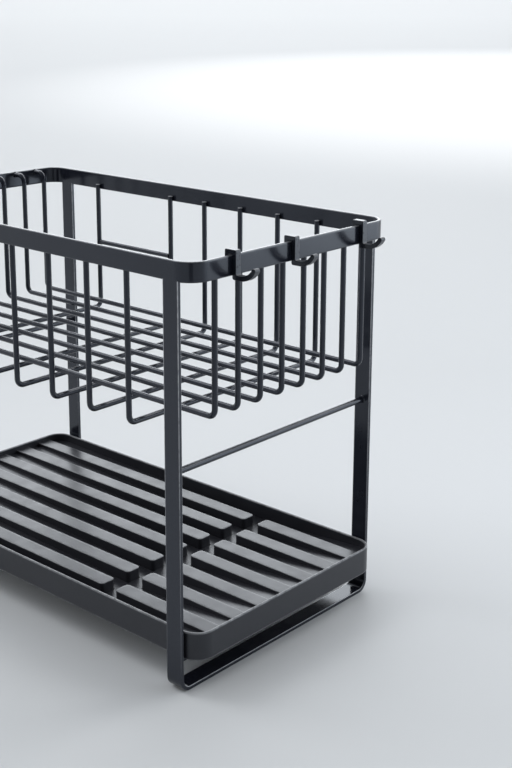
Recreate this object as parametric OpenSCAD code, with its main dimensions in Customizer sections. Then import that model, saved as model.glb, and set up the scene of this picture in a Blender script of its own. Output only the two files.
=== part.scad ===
// Two-level drying rack: a wire basket hung in a flat-bar stand, over a ribbed drip tray
// that slides out at the end, with hooks that slide along the rim's right end.
// X runs left to right, Y front to back, Z up from the floor. Millimetres.

/* [Stand] */
// Length of the rim, left to right
rack_l = 415; // [395:5:440]
// Depth of the rim, front to back
rack_d = 228; // [222:2:250]
// Height of the rim's top edge above the floor
rack_h = 330; // [310:5:360]
// Width of the flat bar
bar_w = 15; // [13:1:18]
// Thickness of the flat bar
bar_t = 3; // [2.5:0.5:3.5]
// Outer radius of the rim's corners
rim_r = 17; // [12:1:25]
// Outer radius where a leg turns into its foot bar
foot_r = 10; // [6:1:14]
// From the rim's end to the outer side of the legs
leg_inset = 13.5; // [11:0.5:20]

/* [Cross rods] */
// Diameter of the rods that tie the legs together
rod_d = 5; // [4:0.5:6]
// Height of the upper rods' centres
upper_rod_z = 173; // [120:1:180]
// Height of the tray rods' centres
tray_rod_z = 23.5; // [20:0.5:23.5]

/* [Basket] */
// Diameter of the basket's wire
wire_d = 4.5; // [3.5:0.25:4.5]
// Height of the cross wires' centres at the basket's floor
floor_z = 198; // [190:1:230]
// Height of the long wires' centres above the cross wires' at the floor
long_rise = 14; // [5:0.5:16]
// Centre-line radius of the wires' bends
bend_r = 6; // [5:0.5:9]
// From the rim's top edge down to the wires' upper ends
wire_top_gap = 10; // [7:0.5:10.5]
// Number of long wires
long_n = 8; // [8]
// Spacing of the long wires
long_pitch = 24.5; // [20:0.5:26]
// How far the long wires' left ends stand in from the rim
left_gap = 11; // [8:0.5:14]
// Centre-line radius of the outward bend at the long wires' left ends
top_bend_r = 7; // [5:0.5:8]
// Position of the first cross wire, from the rim's middle
cross_x1 = 137; // [125:1:145]
// Spacing of the cross wires
cross_pitch = 43.6; // [38:0.2:46]
// Position of the last cross wire, beyond the wide opening, from the rim's middle
cross_x6 = -137; // [-150:1:-125]
// Height of the low bars across the wide openings
low_bar_z = 263; // [230:1:290]

/* [Tray] */
// Length of the tray
tray_l = 412; // [390:2:420]
// Depth of the tray
tray_d = 217; // [204:1:219]
// Height of the tray
tray_h = 22.3; // [20:0.1:30]
// Corner radius of the tray
tray_r = 16; // [14:1:26]
// Thickness of the tray's walls
tray_wall = 2; // [1.6:0.2:2.6]
// Gap between the tray and the rods it lies on
tray_gap = 0.3; // [0.2:0.1:1]
// From the tray's rim down to the tops of the ribs
rib_drop = 4.6; // [4:0.1:6]
// Number of ribs in each row
rib_n = 7; // [7]
// Spacing of the ribs
rib_pitch = 28.3; // [26.5:0.1:28.5]
// Width of a rib
rib_w = 14.2; // [12:0.2:16]
// Corner radius of a rib's inner end
rib_r = 3; // [2:0.5:4]
// Left edge of the drain groove between the two rows, from the tray's middle
groove_x = 83; // [60:1:100]
// Width of the drain groove
groove_w = 15; // [10:1:20]
// Depth of the drain groove below the ribs
groove_depth = 9.5; // [7:0.5:9.5]
// Depth of the channels at the left end wall
left_depth = 3; // [1:0.5:5]
// Depth of the channels at the right end wall
right_depth = 1.4; // [0.4:0.2:3]

/* [Hooks] */
// Thickness of the hooks' flat bar
hook_t = 3.6; // [3:0.2:5]
// Width of the hooks' flat bar, along the rim
hook_w = 5.2; // [4:0.2:6]
// Gap between a hook and the rim
hook_gap = 0.3; // [0.2:0.1:0.5]
// How far a prong's tip stands out from the rim's outer face
hook_reach = 22; // [20:0.5:26]
// How far a hook hangs below the rim's top edge
hook_drop = 17.7; // [16:0.5:24]
// Outer radius of a prong
prong_r = 16; // [14:0.5:18]
// Slope of a prong's tip above the level
prong_tilt = 60; // [40:5:60]
// Positions of the hooks, from the rim's middle
hook_y = [-71, -6.5, 76];

/* [Hidden] */
$fn = 96;
e = 1;
steel = [0.17, 0.18, 0.20];
satin = [0.22, 0.22, 0.24];
hook_top = rack_h + hook_gap + hook_t;
// The frame's origin is under the middle of the whole rack, prongs counted
x0 = -hook_reach / 2;
rim_x = rack_l / 2;
rim_y = rack_d / 2;
in_y = rim_y - bar_t;
leg_x = rim_x - leg_inset - bar_w / 2;
leg_top = rack_h - bar_w;
wire_y = in_y - wire_d / 2;
wire_top = rack_h - wire_top_gap;
long_z = floor_z + long_rise;
right_x = rim_x - bar_t - wire_d / 2;
left_x = -(rim_x - bar_t - wire_d / 2 - left_gap);
left_top = rack_h - wire_d / 2 - 0.35;
cross_x = [for (i = [0:4]) cross_x1 - cross_pitch * i];
tray_z = tray_rod_z + rod_d / 2 + tray_gap;
tray_top = tray_z + tray_h;
rib_z = tray_top - rib_drop;
groove_z = rib_z - groove_depth;
prong_cx = rim_x + hook_reach - (prong_r - hook_t / 2) * cos(90 - prong_tilt) - hook_t / 2;
hook_z = rack_h - hook_drop;

// A rectangle with rounded corners, about its middle
module rounded(l, w, r) {
    square([l, w - 2 * r], center = true);
    square([l - 2 * r, w], center = true);
    for (sx = [-1, 1], sy = [-1, 1])
        translate([sx * (l / 2 - r), sy * (w / 2 - r)]) circle(r = r);
}

// Straight round bar between two points of the drawing plane
module straight(u1, v1, u2, v2, d) {
    translate([u1, v1, 0])
        rotate([0, 0, atan2(v2 - v1, u2 - u1)])
            rotate([0, 90, 0])
                cylinder(d = d, h = norm([u2 - u1, v2 - v1]));
}

// Bend of a round bar about a point of the drawing plane
module bend(u, v, r, from, turn, d) {
    translate([u, v, 0])
        rotate([0, 0, from])
            rotate_extrude(angle = turn)
                translate([r, 0]) circle(d = d);
}

// Stands a drawing up: its first axis along Y and its second along Z
module stand_y(x) translate([x, 0, 0]) rotate([90, 0, 90]) children();

// Stands a drawing up: its first axis along X and its second along Z
module stand_x(x, y) translate([x, y, 0]) rotate([90, 0, 0]) children();

// Flat bar bent into a closed loop
module rim() {
    color(steel)
        translate([x0, 0, leg_top])
            linear_extrude(bar_w)
                difference() {
                    rounded(rack_l, rack_d, rim_r);
                    rounded(rack_l - 2 * bar_t, rack_d - 2 * bar_t, rim_r - bar_t);
                }
}

// Outline of a leg pair, open at the top
module leg_outline(half, low, r, top) {
    translate([-half, low + r]) square([2 * half, top - low - r]);
    translate([-half + r, low]) square([2 * half - 2 * r, 2 * r]);
    for (s = [-1, 1]) translate([s * (half - r), low + r]) circle(r = r);
}

// Front leg, foot bar and back leg of one end, bent from one flat bar
module end_frame(side) {
    color(steel)
        stand_y(x0 + side * leg_x - bar_w / 2)
            linear_extrude(bar_w)
                difference() {
                    leg_outline(rim_y, 0, foot_r, leg_top);
                    leg_outline(in_y, bar_t, foot_r - bar_t, leg_top + e);
                }
}

// Round rod between the two legs of one end
module leg_rod(side, z) {
    color(steel) stand_y(x0 + side * leg_x) straight(-in_y, z, in_y, z, rod_d);
}

// Short bar across a wide opening of the basket
module low_bar(side) {
    color(steel)
        stand_x(x0, side * wire_y)
            straight(cross_x6 + wire_d / 2, low_bar_z, cross_x[4] - wire_d / 2, low_bar_z, wire_d);
}

// Wire along the basket: up to the rim at the right, up and out to the rim at the left
module long_wire(i) {
    y = (i - (long_n + 1) / 2) * long_pitch;
    far_x = -(rim_x - bar_t);
    color(steel)
        stand_x(x0, y) {
            straight(right_x, wire_top, right_x, long_z + bend_r, wire_d);
            bend(right_x - bend_r, long_z + bend_r, bend_r, 270, 90, wire_d);
            straight(right_x - bend_r, long_z, left_x + bend_r, long_z, wire_d);
            bend(left_x + bend_r, long_z + bend_r, bend_r, 180, 90, wire_d);
            straight(left_x, long_z + bend_r, left_x, left_top - top_bend_r, wire_d);
            bend(left_x - top_bend_r, left_top - top_bend_r, top_bend_r, 0, 90, wire_d);
            straight(left_x - top_bend_r, left_top, far_x, left_top, wire_d);
        }
}

// U-shaped wire across the basket, up to the rim at the front and the back
module cross_wire(x) {
    color(steel)
        stand_y(x0 + x) {
            straight(-wire_y, wire_top, -wire_y, floor_z + bend_r, wire_d);
            bend(-wire_y + bend_r, floor_z + bend_r, bend_r, 180, 90, wire_d);
            straight(-wire_y + bend_r, floor_z, wire_y - bend_r, floor_z, wire_d);
            bend(wire_y - bend_r, floor_z + bend_r, bend_r, 270, 90, wire_d);
            straight(wire_y, floor_z + bend_r, wire_y, wire_top, wire_d);
        }
}

// Plan of the ribs: a long row left of the groove and a short row right of it
module ribs(grow) {
    l_left = tray_l / 2 + groove_x;
    l_right = tray_l / 2 - groove_x - groove_w;
    for (i = [0:rib_n - 1])
        translate([0, (i - (rib_n - 1) / 2) * rib_pitch]) {
            translate([groove_x - l_left / 2, 0])
                rounded(l_left + 2 * grow, rib_w + 2 * grow, rib_r);
            translate([groove_x + groove_w + l_right / 2, 0])
                rounded(l_right + 2 * grow, rib_w + 2 * grow, rib_r);
        }
}

// Side view of the space over the channels' floors: deepest at the groove
module channel_side(low) {
    polygon([
        [-tray_l / 2, rib_z - left_depth + low], [groove_x, groove_z + low],
        [groove_x + groove_w, groove_z + low], [tray_l / 2, rib_z - right_depth + low],
        [tray_l / 2, tray_top + e], [-tray_l / 2, tray_top + e]]);
}

// Side view of the space under the channels' floors
module under_side() {
    polygon([
        [-tray_l / 2, tray_z - e], [tray_l / 2, tray_z - e],
        [tray_l / 2, rib_z - right_depth - tray_wall],
        [groove_x + groove_w, groove_z - tray_wall],
        [groove_x, groove_z - tray_wall],
        [-tray_l / 2, rib_z - left_depth - tray_wall]]);
}

// Drip tray: a skirted shell with two rows of hollow ribs and a drain groove between them
module tray() {
    in_l = tray_l - 2 * tray_wall;
    in_d = tray_d - 2 * tray_wall;
    color(satin)
        translate([x0, 0, 0])
            difference() {
                translate([0, 0, tray_z]) linear_extrude(tray_h) rounded(tray_l, tray_d, tray_r);
                translate([0, 0, rib_z])
                    linear_extrude(rib_drop + e) rounded(in_l, in_d, tray_r - tray_wall);
                intersection() {
                    translate([0, 0, tray_z])
                        linear_extrude(tray_h)
                            difference() {
                                rounded(in_l, in_d, tray_r - tray_wall);
                                ribs(0);
                            }
                    translate([0, tray_d / 2, 0])
                        rotate([90, 0, 0]) linear_extrude(tray_d) channel_side(0);
                }
                intersection() {
                    translate([0, 0, tray_z - e])
                        linear_extrude(tray_h) rounded(in_l, in_d, tray_r - tray_wall);
                    translate([0, tray_d / 2, 0])
                        rotate([90, 0, 0]) linear_extrude(tray_d) under_side();
                }
                translate([0, 0, tray_z])
                    linear_extrude(rib_z - tray_wall - tray_z)
                        intersection() {
                            rounded(in_l, in_d, tray_r - tray_wall);
                            ribs(-tray_wall);
                        }
            }
}

// Side view of a hook: a short leg inside the rim, a strap outside it and an upturned prong
module hook_side() {
    far = rim_x + hook_gap + hook_t;
    near = rim_x - bar_t - hook_gap - hook_t;
    a = 90 - prong_tilt;
    arc_z = hook_z + prong_r;
    mid_r = prong_r - hook_t / 2;
    corner = 0.45 * hook_t;
    translate([near, rack_h - 6]) square([hook_t, hook_top - rack_h + 6]);
    translate([near, rack_h + hook_gap]) square([far - near, hook_t]);
    difference() {
        translate([far - hook_t, hook_z]) square([hook_t, hook_top - hook_z]);
        translate([far - hook_t - e, hook_z - e]) square([e + corner, e + corner]);
    }
    translate([far - hook_t + corner, hook_z + corner]) circle(r = corner);
    translate([far - hook_t + corner, hook_z])
        square([prong_cx - far + hook_t - corner, hook_t]);
    difference() {
        translate([prong_cx, arc_z]) circle(r = prong_r);
        translate([prong_cx, arc_z]) circle(r = prong_r - hook_t);
        translate([prong_cx - 2 * prong_r - 0.3, hook_z - e]) square([2 * prong_r, 3 * prong_r]);
        translate([prong_cx, arc_z]) rotate([0, 0, -a]) square(2 * prong_r);
        translate([prong_cx - prong_r, arc_z]) square(2 * prong_r);
    }
    translate([prong_cx + mid_r * cos(a), arc_z - mid_r * sin(a)]) circle(d = hook_t);
}

// Hook bent from flat bar, sitting over the rim
module hook(y) {
    color(steel) stand_x(x0, y + hook_w / 2) linear_extrude(hook_w) hook_side();
}

rim();
end_frame(-1);  // end_frame_left
end_frame(1);  // end_frame_right
leg_rod(-1, upper_rod_z);  // upper_rod_left
leg_rod(1, upper_rod_z);  // upper_rod_right
leg_rod(-1, tray_rod_z);  // tray_rod_left
leg_rod(1, tray_rod_z);  // tray_rod_right
low_bar(-1);  // low_bar_front
low_bar(1);  // low_bar_back
long_wire(1);  // long_wire_1
long_wire(2);  // long_wire_2
long_wire(3);  // long_wire_3
long_wire(4);  // long_wire_4
long_wire(5);  // long_wire_5
long_wire(6);  // long_wire_6
long_wire(7);  // long_wire_7
long_wire(8);  // long_wire_8
cross_wire(cross_x[0]);  // cross_wire_1
cross_wire(cross_x[1]);  // cross_wire_2
cross_wire(cross_x[2]);  // cross_wire_3
cross_wire(cross_x[3]);  // cross_wire_4
cross_wire(cross_x[4]);  // cross_wire_5
cross_wire(cross_x6);  // cross_wire_6
tray();
hook(hook_y[0]);  // hook_1
hook(hook_y[1]);  // hook_2
hook(hook_y[2]);  // hook_3
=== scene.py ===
import math

import bmesh
import bpy
from mathutils import Matrix, Vector


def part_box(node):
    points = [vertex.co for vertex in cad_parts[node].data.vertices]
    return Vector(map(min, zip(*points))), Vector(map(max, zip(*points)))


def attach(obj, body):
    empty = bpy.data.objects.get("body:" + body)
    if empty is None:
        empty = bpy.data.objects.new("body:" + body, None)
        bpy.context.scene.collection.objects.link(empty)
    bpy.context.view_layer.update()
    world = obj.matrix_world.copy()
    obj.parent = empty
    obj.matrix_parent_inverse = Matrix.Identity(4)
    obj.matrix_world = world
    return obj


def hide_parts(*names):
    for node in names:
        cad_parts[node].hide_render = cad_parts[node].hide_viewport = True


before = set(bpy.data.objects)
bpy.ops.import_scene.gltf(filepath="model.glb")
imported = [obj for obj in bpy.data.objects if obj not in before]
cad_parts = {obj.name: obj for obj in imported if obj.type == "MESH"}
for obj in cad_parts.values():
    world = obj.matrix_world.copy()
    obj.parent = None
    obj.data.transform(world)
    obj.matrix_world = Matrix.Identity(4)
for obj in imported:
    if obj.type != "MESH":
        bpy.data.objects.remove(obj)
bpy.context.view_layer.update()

MM = 0.001

# Sizes that the CAD boxes alone don't give, in metres
BAR_W, BAR_T = 15 * MM, 3 * MM              # the stand's flat bar
RIM_R, FOOT_R = 17 * MM, 10 * MM            # outer radii of the rim's corners and of the feet
EDGE = 0.35 * MM                            # rounding along the end frames' flat bar
RIM_EDGE = 0.85 * MM                        # and along the rim's, which is dressed smooth for hands
WIRE_BEND, TOP_BEND = 6 * MM, 7 * MM        # the wires' bends at the floor, and outward to the rim
WIRE_REACH = 13.25 * MM                     # how far in from the rim a long wire's left leg stands
CROSS_WIRES, LONG_WIRES = 6, 8

TRAY_R, TRAY_WALL = 16 * MM, 2 * MM
RIB_N, RIB_PITCH, RIB_W, RIB_R = 7, 28.3 * MM, 14.2 * MM, 3 * MM
RIB_DROP = 4.6 * MM                         # the ribs' tops, below the tray's top edge
RIB_EDGE = 0.45 * MM                        # rounding along the ribs' tops
GROOVE_X, GROOVE_W, GROOVE_DEPTH = 83 * MM, 15 * MM, 9.5 * MM
LEFT_DEPTH, RIGHT_DEPTH = 3 * MM, 1.4 * MM  # the channels' floors at the tray's ends, below the ribs' tops
LAP = 0.1 * MM                              # how far one stretch of floor runs under the next

HOOK_T, HOOK_GAP, HOOK_LEG = 3.6 * MM, 0.3 * MM, 6 * MM
PRONG_R, PRONG_TILT = 16 * MM, math.radians(30)
HOOK_BEVEL = 0.5 * MM

SUPPORT = 1.2 * MM          # straight length beside a bend that keeps long faces flat in shading
SIDE_WEAR_AND_HIGHLIGHT = 0.03            # share of wear and painted highlight on an edge that faces sideways or down, against one that faces up
RIM_RUB_AND_HIGHLIGHT = 0.25              # the rim's edges get less wear and painted highlight than the rest
SHARP = math.radians(38)    # edges over this angle stay sharp in shading

BEAD_R, BEAD_LONG, BEAD_DEEP = 1.5 * MM, 2.6 * MM, 0.9 * MM     # a weld bead's half sizes
BEAD_DROP = 3.4 * MM        # its middle, below the wire's cut end
BEAD_SINK = 0.25            # its middle, in from the wire's outer side, in wire radii

# A wire's end: radius and distance from the end, both in wire radii
WIRE_ENDS = {
    "cut": ((0.55, 0.0), (0.82, 0.03), (0.95, 0.12), (1.0, 0.28), (1.0, 0.6)),
    "weld": ((1.34, 0.0), (1.2, 0.12), (1.08, 0.32), (1.02, 0.6), (1.0, 1.0))}
CUT_WEAR = 0.8

ALONG_X, ALONG_Y, ALONG_Z = (1, 0, 0), (0, 1, 0), (0, 0, 1)


# ---------------------------------------------------------------- mesh helpers
def add_piece(name, mesh, wear_and_highlight, body, node, material):
    """Makes a mesh a piece: its weights of wear and painted highlight, material, CAD body and replaced node.
    """
    weights = mesh.attributes.new("wear_and_highlight", "FLOAT", "POINT")
    weights.data.foreach_set("value", wear_and_highlight)
    mesh.shade_smooth()
    mesh.materials.append(material)
    ob = bpy.data.objects.new(name, mesh)
    bpy.context.scene.collection.objects.link(ob)
    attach(ob, body)
    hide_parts(node)
    return ob


class Builder:
    """Collects points, faces and a weight of wear and painted highlight for one piece."""

    def __init__(self):
        self.v, self.f, self.w = [], [], []

    def point(self, p, wear_and_highlight=0.0):
        self.v.append(tuple(p))
        self.w.append(wear_and_highlight)
        return len(self.v) - 1

    def loop(self, pts, wear_and_highlight_weights):
        return [self.point(p, w) for p, w in zip(pts, wear_and_highlight_weights)]

    def flat_loop(self, pts, wear_and_highlight=0.0):
        return self.loop(pts, [wear_and_highlight] * len(pts))

    def bridge(self, a, b):
        for i in range(len(a)):
            j = (i + 1) % len(a)
            self.f.append((a[i], a[j], b[j], b[i]))

    def bridge_all(self, loops):
        for a, b in zip(loops, loops[1:]):
            self.bridge(a, b)

    def cap(self, loop, flip=False):
        self.f.append(tuple(reversed(loop)) if flip else tuple(loop))

    def make(self, name, body, node, slot, material, rub_and_highlight=1.0, side_wear_and_highlight=SIDE_WEAR_AND_HIGHLIGHT):
        """The finished piece. Its wear weights are raised where a point faces up, which paints a highlight
        on upward edges as a light from above would; they fade where a face looks sideways.
        """
        mesh = bpy.data.meshes.new(name)
        mesh.from_pydata(self.v, [], self.f)
        bm = bmesh.new()
        bm.from_mesh(mesh)
        bmesh.ops.recalc_face_normals(bm, faces=bm.faces)
        bm.normal_update()
        # Painted highlight: the weights grow on points that face up, where a light from above would catch
        # the edge.
        lit_tops = [min(max(2.2 * v.normal.z - 0.3, 0), 1) for v in bm.verts]
        bm.to_mesh(mesh)
        bm.free()
        wear_and_highlight = [w * rub_and_highlight * (side_wear_and_highlight + (1 - side_wear_and_highlight) * top) for w, top in zip(self.w, lit_tops)]
        ob = add_piece(name, mesh, wear_and_highlight, body, node, material)
        mesh.set_sharp_from_angle(angle=SHARP)
        return ob


def round_path(points, radii, seg=8, closed=False):
    """Points and unit tangents along a polyline in a plane whose corners are arcs."""
    out = []
    for i, r in enumerate(radii):
        p = Vector(points[i])
        if r <= 0:
            t = Vector(points[1]) - p if i == 0 else p - Vector(points[i - 1])
            out.append((p, t.normalized()))
            continue
        before, after = Vector(points[i - 1]), Vector(points[(i + 1) % len(points)])
        u, v = (p - before).normalized(), (after - p).normalized()
        turn = math.atan2(u.x * v.y - u.y * v.x, u.dot(v))
        d = r * math.tan(abs(turn) / 2)
        side = 1 if turn > 0 else -1
        centre = p - u * d + Vector((-u.y, u.x)) * r * side
        start = p - u * d - centre
        out.append((p - u * (d + SUPPORT), u))
        for k in range(seg + 1):
            m = Matrix.Rotation(turn * k / seg, 2)
            out.append((centre + m @ start, m @ u))
        out.append((p + v * (d + SUPPORT), v))
    return out


def arc(cx, cy, r, start, stop, steps):
    """Points along an arc, its first one included."""
    angles = [start + (stop - start) * k / steps for k in range(steps + 1)]
    return [(cx + r * math.cos(a), cy + r * math.sin(a)) for a in angles]


def bar_profile(width, thick, e, seg=3):
    """A flat bar's section with rounded edges and a support point beside each rounding."""
    face_step, edge_step = 0.5 * MM, 0.3 * MM
    half_t, half_w = thick / 2, width / 2
    pts = []
    for sx, sy, start in ((1, 1, 0), (-1, 1, 90), (-1, -1, 180), (1, -1, 270)):
        a = math.radians(start)
        rounding = [(x, y, 1.0) for x, y in arc(sx * (half_t - e), sy * (half_w - e), e,
                                                a, a + math.pi / 2, seg)]
        on_face = [(sx * half_t, sy * (half_w - e - face_step), 0.0)]
        on_edge = [(sx * (half_t - e - edge_step), sy * half_w, 0.0)] if thick > 4 * e else []
        pts += on_face + rounding + on_edge if sx == sy else on_edge + rounding + on_face
    return pts


def place(origin, ax, ay):
    """Maps a drawing point to the frame: origin + u*ax + v*ay."""
    o, ax, ay = Vector(origin), Vector(ax), Vector(ay)
    return lambda p: o + ax * p[0] + ay * p[1]


def sweep(b, path, profile, to3, normal, closed=False):
    """Sweeps a section along a drawing path. Its first axis is beside the path, its second along normal."""
    n, zero = Vector(normal), to3((0, 0))
    loops = []
    for p, t in path:
        side = to3((t.y, -t.x)) - zero
        loops.append(b.loop([to3(p) + side * a + n * c for a, c, _ in profile],
                            [w for _, _, w in profile]))
    b.bridge_all(loops)
    if closed:
        b.bridge(loops[-1], loops[0])
    else:
        b.cap(loops[0], True)
        b.cap(loops[-1])


def wire(b, path, r, to3, normal, start="cut", end="cut", sides=20):
    """A round wire along a drawing path. Its ends are cut (slightly domed) or welded (flared)."""
    n, zero = Vector(normal), to3((0, 0))
    section = arc(0, 0, r, 0, 2 * math.pi, sides)[:-1]
    loops = []

    def ring(p, t, k=1.0, shift=0.0, wear_and_highlight=0.0):
        side = to3((t.y, -t.x)) - zero
        along = to3((t.x, t.y)) - zero
        base = to3(p) + along * shift
        loops.append(b.flat_loop([base + side * x * k + n * y * k for x, y in section], wear_and_highlight))

    def tip(at, kind, sign):
        steps = WIRE_ENDS[kind] if sign > 0 else reversed(WIRE_ENDS[kind])
        for k, s in steps:
            ring(*at, k, s * r * sign, CUT_WEAR if kind == "cut" and k < 1 else 0.0)

    tip(path[0], start, 1)
    for p, t in path[1:-1]:
        ring(p, t)
    tip(path[-1], end, -1)
    b.bridge_all(loops)
    b.cap(loops[0], True)
    b.cap(loops[-1])


def bead(b, centre, radii, around=10, rows=6):
    """A small weld bead: a flattened ellipsoid sunk between two bars."""
    c = Vector(centre)
    loops = []
    for i in range(1, rows):
        a = math.pi * i / rows
        turns = [2 * math.pi * j / around for j in range(around)]
        loops.append(b.flat_loop([c + Vector((radii[0] * math.sin(a) * math.cos(turn),
                                              radii[1] * math.sin(a) * math.sin(turn),
                                              radii[2] * math.cos(a))) for turn in turns]))
    b.bridge_all(loops)
    top = b.point(c + Vector((0, 0, radii[2])))
    low = b.point(c - Vector((0, 0, radii[2])))
    for j in range(around):
        following = (j + 1) % around
        b.f.append((top, loops[0][following], loops[0][j]))
        b.f.append((low, loops[-1][j], loops[-1][following]))


# ---------------------------------------------------------------- material helpers
def new_material(name):
    mat = bpy.data.materials.new(name)
    mat.use_nodes = True
    return mat, mat.node_tree, mat.node_tree.nodes["Principled BSDF"]


def noise(nt, coord, scale, detail=3.0, rough=0.5):
    n = nt.nodes.new("ShaderNodeTexNoise")
    n.inputs["Scale"].default_value = scale
    n.inputs["Detail"].default_value = detail
    n.inputs["Roughness"].default_value = rough
    nt.links.new(coord, n.inputs["Vector"])
    return n.outputs["Fac"]


def remap(nt, fac, lo, hi, out_lo, out_hi, ease="LINEAR"):
    n = nt.nodes.new("ShaderNodeMapRange")
    n.interpolation_type = ease
    n.inputs["From Min"].default_value = lo
    n.inputs["From Max"].default_value = hi
    n.inputs["To Min"].default_value = out_lo
    n.inputs["To Max"].default_value = out_hi
    nt.links.new(fac, n.inputs["Value"])
    return n.outputs["Result"]


def mix(nt, fac, a, b):
    """A colour between a and b. Each is a colour or a socket."""
    n = nt.nodes.new("ShaderNodeMix")
    n.data_type = "RGBA"
    color_a, color_b, color_out = n.inputs[6], n.inputs[7], n.outputs[2]
    for sock, val in ((color_a, a), (color_b, b)):
        if isinstance(val, tuple):
            sock.default_value = (*val, 1.0)
        else:
            nt.links.new(val, sock)
    nt.links.new(fac, n.inputs[0])
    return color_out


def math_node(nt, op, a, b):
    n = nt.nodes.new("ShaderNodeMath")
    n.operation = op
    for i, val in enumerate((a, b)):
        if isinstance(val, float):
            n.inputs[i].default_value = val
        else:
            nt.links.new(val, n.inputs[i])
    return n.outputs[0]


def vector_node(nt, op, coord, vector):
    """The dot product with a vector, or the distance from a point."""
    n = nt.nodes.new("ShaderNodeVectorMath")
    n.operation = op
    n.inputs[1].default_value = vector
    nt.links.new(coord, n.inputs[0])
    return n.outputs["Value"]


def bump(nt, shader, height, strength, distance):
    n = nt.nodes.new("ShaderNodeBump")
    n.inputs["Strength"].default_value = strength
    n.inputs["Distance"].default_value = distance
    nt.links.new(height, n.inputs["Height"])
    nt.links.new(n.outputs["Normal"], shader.inputs["Normal"])


def surface_inputs(nt):
    """The place on the piece, in metres, and the weight of wear and painted highlight there."""
    wear_and_highlight = nt.nodes.new("ShaderNodeAttribute")
    wear_and_highlight.attribute_name = "wear_and_highlight"
    return nt.nodes.new("ShaderNodeTexCoord").outputs["Object"], wear_and_highlight.outputs["Fac"]


# ---------------------------------------------------------------- materials
def powder_coat(name, dark, pale, edge_wear_and_highlight, rough_lo, rough_hi):
    """Semi-gloss black powder coat: orange peel, a faint cloudiness, and pale edges that are rubbed paint
    and also a painted highlight.
    """
    mat, nt, sh = new_material(name)
    co, wear_and_highlight = surface_inputs(nt)
    cloud = noise(nt, co, 24.0, 4.0, 0.55)
    grit = noise(nt, co, 260.0, 5.0, 0.65)
    # Where the edges are rubbed, the pale colour is both worn coat and a painted highlight.
    rub_and_highlight = math_node(nt, "MULTIPLY", wear_and_highlight, remap(nt, grit, 0.30, 0.55, 0.5, 1.0))
    coat = mix(nt, remap(nt, cloud, 0.35, 0.65, 0.0, 1.0), dark, pale)
    nt.links.new(mix(nt, rub_and_highlight, coat, edge_wear_and_highlight), sh.inputs["Base Color"])
    rough = math_node(nt, "ADD", remap(nt, cloud, 0.3, 0.7, rough_lo, rough_hi),
                      math_node(nt, "MULTIPLY", rub_and_highlight, 0.12))
    nt.links.new(rough, sh.inputs["Roughness"])
    sh.inputs["IOR"].default_value = 1.52
    sh.inputs["Specular Tint"].default_value = (0.84, 0.90, 1.0, 1.0)
    fine = noise(nt, co, 900.0, 2.0, 0.5)
    peel = math_node(nt, "ADD", noise(nt, co, 420.0, 1.0, 0.4), math_node(nt, "MULTIPLY", fine, 0.35))
    bump(nt, sh, peel, 0.12, 0.05 * MM)
    return mat


def moulded_plastic(name, dark, pale, edge_wear_and_highlight, rough_lo, rough_hi):
    """Satin moulded plastic with a fine spark-eroded grain and lightly scuffed edges, whose pale lines also
    paint a highlight along the wall's top edge and foot.
    """
    mat, nt, sh = new_material(name)
    co, wear_and_highlight = surface_inputs(nt)
    cloud = noise(nt, co, 16.0, 3.0, 0.5)
    scuff_and_highlight = math_node(nt, "MULTIPLY", wear_and_highlight, remap(nt, noise(nt, co, 180.0, 5.0, 0.6), 0.35, 0.65, 0.35, 0.8))
    skin = mix(nt, remap(nt, cloud, 0.35, 0.65, 0.0, 1.0), dark, pale)
    nt.links.new(mix(nt, scuff_and_highlight, skin, edge_wear_and_highlight), sh.inputs["Base Color"])
    rough = math_node(nt, "ADD", remap(nt, noise(nt, co, 60.0, 4.0, 0.6), 0.3, 0.7, rough_lo, rough_hi),
                      math_node(nt, "MULTIPLY", scuff_and_highlight, 0.1))
    nt.links.new(rough, sh.inputs["Roughness"])
    sh.inputs["IOR"].default_value = 1.5
    sh.inputs["Specular Tint"].default_value = (0.90, 0.94, 1.0, 1.0)
    cells = nt.nodes.new("ShaderNodeTexVoronoi")
    cells.feature = "SMOOTH_F1"
    cells.inputs["Scale"].default_value = 1500.0
    nt.links.new(co, cells.inputs["Vector"])
    grain = math_node(nt, "ADD", cells.outputs["Distance"],
                      math_node(nt, "MULTIPLY", noise(nt, co, 700.0, 3.0, 0.6), 0.8))
    bump(nt, sh, grain, 0.25, 0.02 * MM)
    return mat


def plain(name, color, rough):
    """A plain matt material, for the stage only."""
    mat, nt, sh = new_material(name)
    sh.inputs["Base Color"].default_value = (*color, 1.0)
    sh.inputs["Roughness"].default_value = rough
    return mat, nt, sh


# The third colour of each coat is its pale edge: worn paint and a painted highlight.
paint = powder_coat("black_powder_coat", (0.0125, 0.0142, 0.0215), (0.0150, 0.0170, 0.0250),
                    (0.50, 0.51, 0.53), 0.14, 0.20)
hook_paint = powder_coat("black_hook_coat", (0.0075, 0.0085, 0.0125), (0.0095, 0.0108, 0.0150),
                         (0.050, 0.052, 0.057), 0.16, 0.22)
plastic = moulded_plastic("black_moulded_plastic", (0.0175, 0.0180, 0.0225), (0.0215, 0.0220, 0.0270),
                          (0.30, 0.305, 0.32), 0.30, 0.40)


# ---------------------------------------------------------------- stand
def make_in_rack(b, name, node, rub_and_highlight=1.0):
    b.make(name, "rack", node, "frame_paint", paint, rub_and_highlight)


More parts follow.
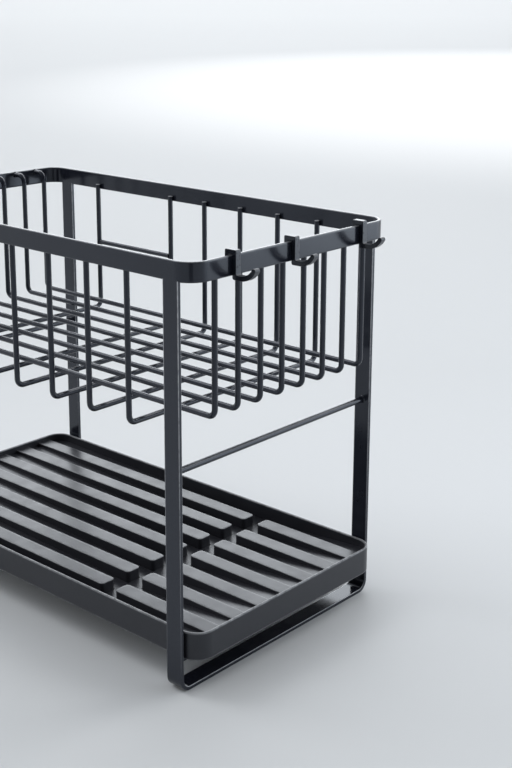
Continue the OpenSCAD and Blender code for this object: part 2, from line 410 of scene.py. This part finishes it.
def build_rim():
    lo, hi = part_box("rim")
    h = BAR_T / 2
    corners = [(lo.x + h, lo.y + h), (hi.x - h, lo.y + h), (hi.x - h, hi.y - h), (lo.x + h, hi.y - h)]
    path = round_path(corners, [RIM_R - h] * 4, 14, closed=True)
    b = Builder()
    sweep(b, path, bar_profile(BAR_W, BAR_T, RIM_EDGE),
          place((0, 0, (lo.z + hi.z) / 2), ALONG_X, ALONG_Y), ALONG_Z, closed=True)
    make_in_rack(b, "rim_bar", "rim", RIM_RUB_AND_HIGHLIGHT)


def build_end_frame(side):
    """Front leg, foot bar and back leg, bent from one bar."""
    node = "end_frame_" + side
    lo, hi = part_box(node)
    h = BAR_T / 2
    top = hi.z + RIM_EDGE       # the legs reach into the rim's rounded lower edge, as a weld does
    pts = [(lo.y + h, top), (lo.y + h, lo.z + h), (hi.y - h, lo.z + h), (hi.y - h, top)]
    path = round_path(pts, [0, FOOT_R - h, FOOT_R - h, 0], 12)
    b = Builder()
    sweep(b, path, bar_profile(BAR_W, BAR_T, EDGE),
          place(((lo.x + hi.x) / 2, 0, 0), ALONG_Y, ALONG_Z), ALONG_X)
    make_in_rack(b, node + "_bar", node)


def build_rod(node):
    """A straight rod between an end frame's legs."""
    lo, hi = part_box(node)
    path = round_path([(lo.y, 0), (hi.y, 0)], [0, 0])
    b = Builder()
    wire(b, path, (hi.x - lo.x) / 2, place(((lo.x + hi.x) / 2, 0, (lo.z + hi.z) / 2), ALONG_Y, ALONG_Z),
         ALONG_X, "weld", "weld", sides=24)
    make_in_rack(b, node + "_bar", node)


build_rim()
for side in ("left", "right"):
    build_end_frame(side)
    build_rod("upper_rod_" + side)
    build_rod("tray_rod_" + side)


# ---------------------------------------------------------------- basket
def build_cross_wire(node):
    """A wire that hangs from the front rim, runs under the basket and rises to the back rim."""
    lo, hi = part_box(node)
    r, x = (hi.x - lo.x) / 2, (lo.x + hi.x) / 2
    pts = [(lo.y + r, hi.z), (lo.y + r, lo.z + r), (hi.y - r, lo.z + r), (hi.y - r, hi.z)]
    path = round_path(pts, [0, WIRE_BEND, WIRE_BEND, 0], 10)
    b = Builder()
    wire(b, path, r, place((x, 0, 0), ALONG_Y, ALONG_Z), ALONG_X)
    for y in (lo.y + r * BEAD_SINK, hi.y - r * BEAD_SINK):
        bead(b, (x, y, hi.z - BEAD_DROP), (BEAD_R, BEAD_DEEP, BEAD_LONG))
    make_in_rack(b, node + "_bent", node)


def build_long_wire(node, right_top):
    """A wire along the basket: straight up to the right rim, up and outward to the left rim."""
    lo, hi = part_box(node)
    r, y = (hi.y - lo.y) / 2, (lo.y + hi.y) / 2
    left, right, low, top = lo.x + WIRE_REACH, hi.x - r, lo.z + r, hi.z - r
    pts = [(right, right_top), (right, low), (left, low), (left, top), (lo.x, top)]
    path = round_path(pts, [0, WIRE_BEND, WIRE_BEND, TOP_BEND, 0], 10)
    b = Builder()
    wire(b, path, r, place((0, y, 0), ALONG_X, ALONG_Z), ALONG_Y, "cut", "weld")
    bead(b, (hi.x - r * BEAD_SINK, y, right_top - BEAD_DROP), (BEAD_DEEP, BEAD_R, BEAD_LONG))
    make_in_rack(b, node + "_bent", node)


def build_low_bar(node):
    """The bar across a wide opening. Its ends sink a little into the wires beside it."""
    lo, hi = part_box(node)
    r = (hi.z - lo.z) / 2
    sink = 0.3 * r
    path = round_path([(lo.x - sink, 0), (hi.x + sink, 0)], [0, 0])
    b = Builder()
    wire(b, path, r, place((0, (lo.y + hi.y) / 2, (lo.z + hi.z) / 2), ALONG_X, ALONG_Z),
         ALONG_Y, "weld", "weld")
    make_in_rack(b, node + "_bar", node)


wire_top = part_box("cross_wire_1")[1].z      # all wires that stand inside the rim end at this height
for i in range(CROSS_WIRES):
    build_cross_wire(f"cross_wire_{i + 1}")
for i in range(LONG_WIRES):
    build_long_wire(f"long_wire_{i + 1}", wire_top)
for side in ("front", "back"):
    build_low_bar("low_bar_" + side)


# ---------------------------------------------------------------- hooks
def hook_outline(lo, hi):
    """A hook seen from the front: up inside the rim, over it, down its face and out to the prong."""
    t = HOOK_T
    far = lo.x + 2 * t + BAR_T + 2 * HOOK_GAP       # outer face of the outer leg
    leg = hi.z - t - HOOK_GAP - HOOK_LEG            # lower end of the inner leg
    middle = PRONG_R - t / 2
    cx, cz = hi.x - middle * math.cos(PRONG_TILT) - t / 2, lo.z + PRONG_R
    end_x, end_z = cx + middle * math.cos(PRONG_TILT), cz - middle * math.sin(PRONG_TILT)
    leg_end, inside_bend, shoulder, heel, armpit = 0.8 * MM, 0.25 * MM, 1.3 * MM, 0.45 * t, 1.2 * MM

    def corners(rows):
        path = round_path([(x, z) for x, z, _ in rows], [r for _, _, r in rows], 5)
        return [(p.x, p.y) for p, _ in path]

    under = corners([(lo.x, leg, 0), (lo.x + t, leg, leg_end), (lo.x + t, hi.z - t, inside_bend),
                     (far - t, hi.z - t, inside_bend), (far - t, lo.z, heel), (cx, lo.z, 0)])
    over = corners([(cx, lo.z + t, 0), (far, lo.z + t, armpit), (far, hi.z, shoulder),
                    (lo.x, hi.z, shoulder), (lo.x, leg, leg_end), (lo.x + t, leg, 0)])
    down, out = -math.pi / 2, -PRONG_TILT
    return (under[1:] + arc(cx, cz, PRONG_R, down, out, 14)[1:]
            + arc(end_x, end_z, t / 2, out, out + math.pi, 8)[1:]
            + arc(cx, cz, PRONG_R - t, out, down, 12)[1:] + over[1:-1])


def build_hook(node, body):
    """A hook of flat bar with bevelled sides, worn along the bevels only."""
    lo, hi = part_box(node)
    wide, mid = hi.y - lo.y, (lo.y + hi.y) / 2
    bm = bmesh.new()
    face = bm.faces.new([bm.verts.new((x, lo.y, z)) for x, z in hook_outline(lo, hi)])
    extruded = bmesh.ops.extrude_face_region(bm, geom=[face])["geom"]
    far_side = [g for g in extruded if isinstance(g, bmesh.types.BMVert)]
    bmesh.ops.translate(bm, vec=(0, wide, 0), verts=far_side)
    bmesh.ops.recalc_face_normals(bm, faces=bm.faces)
    outlines = [e for e in bm.edges if abs(e.verts[0].co.y - e.verts[1].co.y) < 1e-7]
    bmesh.ops.bevel(bm, geom=outlines, offset=HOOK_BEVEL, segments=3, profile=0.5, affect="EDGES",
                    clamp_overlap=True)
    sides = [f for f in bm.faces if abs(f.normal.y) > 0.99]
    bmesh.ops.inset_region(bm, faces=sides, thickness=0.35 * MM)
    mesh = bpy.data.meshes.new(node + "_bar")
    bm.to_mesh(mesh)
    bm.free()
    margin = 0.05 * MM
    near, far = wide / 2 - HOOK_BEVEL + margin, wide / 2 - margin
    wear_and_highlight = [1.0 if near < abs(v.co.y - mid) < far else 0.0 for v in mesh.vertices]
    ob = add_piece(node + "_bar", mesh, wear_and_highlight, body, node, hook_paint)
    ob.modifiers.new("normals", "WEIGHTED_NORMAL").keep_sharp = True


for i, place_name in enumerate(("front", "middle", "back")):
    build_hook(f"hook_{i + 1}", "hook_" + place_name)

# ---------------------------------------------------------------- tray
tray_lo, tray_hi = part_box("tray")
tray_mid = (tray_lo.x + tray_hi.x) / 2
half_x, half_y = (tray_hi.x - tray_lo.x) / 2, (tray_hi.y - tray_lo.y) / 2
rib_z = tray_hi.z - RIB_DROP
groove_z = rib_z - GROOVE_DEPTH
groove_lo = tray_mid + GROOVE_X
groove_hi = groove_lo + GROOVE_W
# The two rows of ribs: from the middle of an end wall to the groove
ROWS = ((tray_lo.x + TRAY_WALL / 2, groove_lo), (tray_hi.x - TRAY_WALL / 2, groove_hi))


def floor_z(x):
    """Height of the channels' floors along the tray."""
    if x < groove_lo:
        start = rib_z - LEFT_DEPTH
        return start + (groove_z - start) * (x - tray_lo.x) / (groove_lo - tray_lo.x)
    if x > groove_hi:
        return groove_z + (rib_z - RIGHT_DEPTH - groove_z) * (x - groove_hi) / (tray_hi.x - groove_hi)
    return groove_z


def tray_outline(inset, seg=14):
    """The tray's plan, drawn in from its outer face."""
    pts = []
    for sx, sy, start in ((1, -1, -90), (1, 1, 0), (-1, 1, 90), (-1, -1, 180)):
        a = math.radians(start)
        pts += arc(tray_mid + sx * (half_x - TRAY_R), sy * (half_y - TRAY_R), TRAY_R - inset,
                   a, a + math.pi / 2, seg)
    return pts


def tray_wall(b):
    """The wall's section carried round the tray: inset, height and wear (scuffs and a painted highlight) of
    each line.
    """
    z0, z1, w = tray_lo.z, tray_hi.z, TRAY_WALL
    deep = rib_z - 12 * MM
    # The pale lines at the foot and at the top edge are scuffs and a painted highlight.
    inner_foot = [(w, deep, 0), (w, z0 + 0.5 * MM, 0), (w - 0.1 * MM, z0 + 0.2 * MM, 0.6),
                  (w - 0.4 * MM, z0, 0.6)]
    outer_foot = [(0.5 * MM, z0, 0.6), (0.15 * MM, z0 + 0.15 * MM, 0.6), (0, z0 + 0.5 * MM, 0.6),
                  (0, z0 + 1.2 * MM, 0)]
    outer_top = [(0, z1 - 1.4 * MM, 0), (0, z1 - 0.7 * MM, 1), (0.2 * MM, z1 - 0.2 * MM, 1),
                 (0.7 * MM, z1, 1)]
    inner_top = [(w - inset, z, wear_and_highlight) for inset, z, wear_and_highlight in reversed(outer_top)]
    section = inner_foot + outer_foot + outer_top + inner_top + [(w, groove_z - 1.0 * MM, 0)]
    b.bridge_all([b.flat_loop([(x, y, z) for x, y in tray_outline(inset)], wear_and_highlight)
                  for inset, z, wear_and_highlight in section])


def rib_outline(square_x, round_x, y, width, r, seg=7):
    """Plan of a rib: square where it runs into the end wall, rounded at the groove."""
    s = 1 if round_x > square_x else -1
    half = width / 2
    corners = arc(-r, r - half, r, -math.pi / 2, 0, seg) + arc(-r, half - r, r, 0, math.pi / 2, seg)
    end = [(round_x + s * u, y + s * v) for u, v in corners]
    return [(square_x, y - s * half)] + end + [(square_x, y + s * half)]


def rib(b, square_x, round_x, y):
    """A hollow rib: its skin from the middle of the top down through the floor, and its underside."""
    e = RIB_EDGE
    below_floor = 0.6 * MM
    s = 1 if round_x > square_x else -1
    # inset, height against the top and wear of each line; the last line follows the floor
    skin = [(2.2 * MM, 0.0, 0.0), (e, 0.0, 0.3), (0.45 * e, -0.10 * e, 1), (0.15 * e, -0.40 * e, 1),
            (0.0, -e, 0.6), (0.0, -1.7 * e, 0.0), (-0.05 * MM, -math.inf, 0.0)]
    loops = []
    for inset, dz, wear_and_highlight in skin:
        plan = rib_outline(square_x, round_x - s * inset, y, RIB_W - 2 * inset, max(RIB_R - inset, 0.4 * MM))
        loops.append(b.flat_loop([(px, py, max(rib_z + dz, floor_z(px) - below_floor))
                                  for px, py in plan], wear_and_highlight))
    b.cap(loops[0])
    b.bridge_all(loops)

    w = TRAY_WALL
    hollow = rib_outline(square_x + s * w, round_x - s * w, y, RIB_W - 2 * w, 1.2 * MM)
    ceiling = rib_z - w
    top = b.flat_loop([(px, py, ceiling) for px, py in hollow])
    mouth = b.flat_loop([(px, py, min(floor_z(px) - w, ceiling - LAP)) for px, py in hollow])
    plan = rib_outline(square_x, round_x, y, RIB_W, RIB_R)
    around = b.flat_loop([(px, py, floor_z(px) - w) for px, py in plan])
    b.cap(top, True)
    b.bridge_all([top, mouth, around])


def floor_strip(b, plan):
    """One stretch of the floor, top and underside."""
    b.cap(b.flat_loop([(px, py, floor_z(px)) for px, py in plan]))
    b.cap(b.flat_loop([(px, py, floor_z(px) - TRAY_WALL) for px, py in plan]), True)


def channel_plan(k, wall_x, groove_x):
    """Plan of the floor between two neighbouring ribs."""
    x0, x1 = sorted((wall_x, groove_x))
    middle, half = (k - RIB_N / 2) * RIB_PITCH, (RIB_PITCH - RIB_W) / 2 + LAP
    return [(x0, middle - half), (x1, middle - half), (x1, middle + half), (x0, middle + half)]


def side_channel_plan(s, wall_x, groove_x):
    """Plan of the floor between the outermost rib on side s and the wall, round the tray's corner."""
    q = 1 if wall_x > groove_x else -1
    r = TRAY_R - TRAY_WALL / 2
    cx, cy = tray_mid + q * (half_x - TRAY_R), half_y - TRAY_R
    inner = (RIB_N - 1) / 2 * RIB_PITCH + RIB_W / 2 - LAP
    corner = [(cx + q * v, s * (cy + u)) for u, v in arc(0, 0, r, 0, math.pi / 2, 14) if cy + u >= inner]
    reach = math.sqrt(max(r * r - (inner - cy) ** 2, 0))
    return ([(groove_x, s * inner), (groove_x, s * (half_y - TRAY_WALL / 2))] + corner
            + [(cx + q * reach, s * inner)])


def build_tray():
    b = Builder()
    tray_wall(b)
    for k in range(RIB_N):
        for wall_x, groove_x in ROWS:
            rib(b, wall_x, groove_x, (k - (RIB_N - 1) / 2) * RIB_PITCH)
    for k in range(RIB_N + 1):
        for wall_x, groove_x in ROWS:
            if 0 < k < RIB_N:
                floor_strip(b, channel_plan(k, wall_x, groove_x))
            else:
                floor_strip(b, side_channel_plan(-1 if k == 0 else 1, wall_x, groove_x))
    x0, x1, y1 = groove_lo - LAP, groove_hi + LAP, half_y - TRAY_WALL / 2
    floor_strip(b, [(x0, -y1), (x1, -y1), (x1, y1), (x0, y1)])
    b.make("drip_tray_moulding", "drip_tray", "tray", "tray_plastic", plastic, side_wear_and_highlight=1.0)


build_tray()


# ---------------------------------------------------------------- stage
def stage_piece(name, points, material):
    """A one-face piece of the stage."""
    mesh = bpy.data.meshes.new(name)
    mesh.from_pydata(points, [], [tuple(range(len(points)))])
    mesh.materials.append(material)
    ob = bpy.data.objects.new(name, mesh)
    bpy.context.scene.collection.objects.link(ob)
    return ob


def floor_material():
    """Matt pale grey with painted light and shade: its brightness steps with depth as the lamps' light would
    fall, and a painted pool of light brightens a far stretch at the back left.
    """
    mat, nt, sh = plain("floor_pale", (0.62, 0.635, 0.648), 0.6)
    sh.inputs["Specular IOR Level"].default_value = 0.25
    co = nt.nodes.new("ShaderNodeTexCoord").outputs["Object"]
    depth = vector_node(nt, "DOT_PRODUCT", co, (-0.662, 0.749, 0.0))       # runs towards the back left
    # Painted light and shade: the floor's colour changes with depth in place of how the lamps light it.
    color = mix(nt, remap(nt, depth, -0.3, 0.15, 0.0, 1.0), (0.60, 0.614, 0.625), (0.665, 0.68, 0.695))
    color = mix(nt, remap(nt, depth, 0.2, 0.6, 0.0, 1.0), color, (0.62, 0.635, 0.648))
    color = mix(nt, remap(nt, depth, 5.0, 14.0, 0.0, 1.0), color, (0.68, 0.695, 0.705))
    # A painted pool of light on the floor.
    from_light_pool = vector_node(nt, "DISTANCE", co, (-1.7, 5.0, 0.0))
    painted_light_pool = remap(nt, from_light_pool, 1.9, 3.3, 1.0, 0.0, "SMOOTHSTEP")
    nt.links.new(mix(nt, painted_light_pool, color, (0.93, 0.935, 0.94)), sh.inputs["Base Color"])
    return mat


def build_floor():
    rim = arc(0, 0, 90.0, 0, 2 * math.pi, 48)[:-1]
    stage_piece("floor", [(x, y, 0) for x, y in rim], floor_material())


def build_dark_card():
    """A dark card below the camera, as the one behind a real camera: only reflections see it."""
    cx, cy, half, bottom, top = 1.02, -0.98, 0.20, 1 * MM, 0.62
    ax, ay = 0.70 * half, 0.714 * half
    points = [(cx - ax, cy - ay, bottom), (cx + ax, cy + ay, bottom), (cx + ax, cy + ay, top),
              (cx - ax, cy - ay, top)]
    card = stage_piece("dark_card", points, plain("card_black", (0.01, 0.01, 0.01), 0.9)[0])
    card.visible_camera = card.visible_diffuse = card.visible_shadow = False


# ---------------------------------------------------------------- light
def build_world():
    """Bright walls, a dimmer ceiling, a soft window at the back left and an unlit room behind the camera."""
    world = bpy.data.worlds.new("studio")
    world.use_nodes = True
    nt = world.node_tree
    bg = nt.nodes["Background"]
    bg.inputs["Color"].default_value = (0.93, 0.965, 1.0, 1.0)
    way = nt.nodes.new("ShaderNodeTexCoord").outputs["Generated"]
    height = vector_node(nt, "DOT_PRODUCT", way, ALONG_Z)
    to_window = vector_node(nt, "DOT_PRODUCT", way, Vector((-0.62, 0.70, 0.36)).normalized())
    to_room = vector_node(nt, "DOT_PRODUCT", way, Vector((0.66, -0.72, 0.2)).normalized())
    walls = remap(nt, height, 0.0, 0.75, 0.95, 0.62)
    window = remap(nt, to_window, 0.80, 0.99, 0.0, 1.1)
    unlit = remap(nt, to_room, 0.15, 0.75, 1.0, 0.12)
    lit_walls = math_node(nt, "MULTIPLY", walls, unlit)
    nt.links.new(math_node(nt, "ADD", lit_walls, window), bg.inputs["Strength"])
    bpy.context.scene.world = world


def add_light(name, kind, power, color, towards):
    """A lamp that stands in the direction towards and shines back from it."""
    light = bpy.data.lights.new(name, kind)
    light.energy = power
    light.color = color
    ob = bpy.data.objects.new(name, light)
    ob.rotation_euler = (-Vector(towards)).to_track_quat("-Z", "Y").to_euler()
    bpy.context.scene.collection.objects.link(ob)
    return ob


def softbox(name, at, target, size, power, color):
    ob = add_light(name, "AREA", power, color, Vector(at) - Vector(target))
    ob.data.shape = "RECTANGLE"
    ob.data.size, ob.data.size_y = size
    ob.location = at
    ob.visible_camera = False


def far_lamp(name, towards, angle, power, color, diffuse=True, glossy=True):
    """A broad distant lamp: an evenly lit floor, soft shadows and a clean highlight along edges."""
    ob = add_light(name, "SUN", power, color, towards)
    ob.data.angle = math.radians(angle)
    ob.visible_diffuse, ob.visible_glossy = diffuse, glossy


def build_lights():
    far_lamp("back_key", (0.25, 0.73, 0.64), 26, 0.6, (1.0, 0.99, 0.98))
    far_lamp("left_edge", (-0.64, -0.23, 0.73), 22, 0.5, (0.97, 0.98, 1.0))
    far_lamp("low_sheen", (-0.614, 0.694, 0.375), 36, 0.50, (0.93, 0.965, 1.0), diffuse=False)
    far_lamp("front_fill", (-0.30, -0.60, 0.74), 80, 0.80, (0.97, 0.985, 1.0), glossy=False)
    softbox("right_window", (1.25, 1.15, 0.45), (0.0, 0.0, 0.25), (1.7, 0.9), 9, (0.84, 0.92, 1.0))


# ---------------------------------------------------------------- camera
def build_camera():
    """A camera in front of the right end, a little above the rack, looking slightly down."""
    lo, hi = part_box("rim")
    yaw, pitch, roll = 0.724, 0.237, 0.005
    forward = Vector((-math.sin(yaw) * math.cos(pitch), math.cos(yaw) * math.cos(pitch), -math.sin(pitch)))
    level = Vector((math.cos(yaw), math.sin(yaw), 0))
    above = level.cross(forward)
    right = level * math.cos(roll) + above * math.sin(roll)
    up = -level * math.sin(roll) + above * math.cos(roll)
    cam = bpy.data.cameras.new("camera")
    cam.sensor_width = 36.0
    cam.lens = 60.94
    cam.shift_y = -0.1329
    cam.clip_start, cam.clip_end = 0.05, 200
    ob = bpy.data.objects.new("camera", cam)
    turn = Matrix((right, up, -forward)).transposed().to_4x4()
    turn.translation = Vector(((lo.x + hi.x) / 2 + 0.8088, (lo.y + hi.y) / 2 - 0.7280, 0.5254))
    ob.matrix_world = turn
    bpy.context.scene.collection.objects.link(ob)
    bpy.context.scene.camera = ob
    bpy.context.scene.view_settings.view_transform = "Standard"


build_floor()
build_world()
build_lights()
build_dark_card()
build_camera()
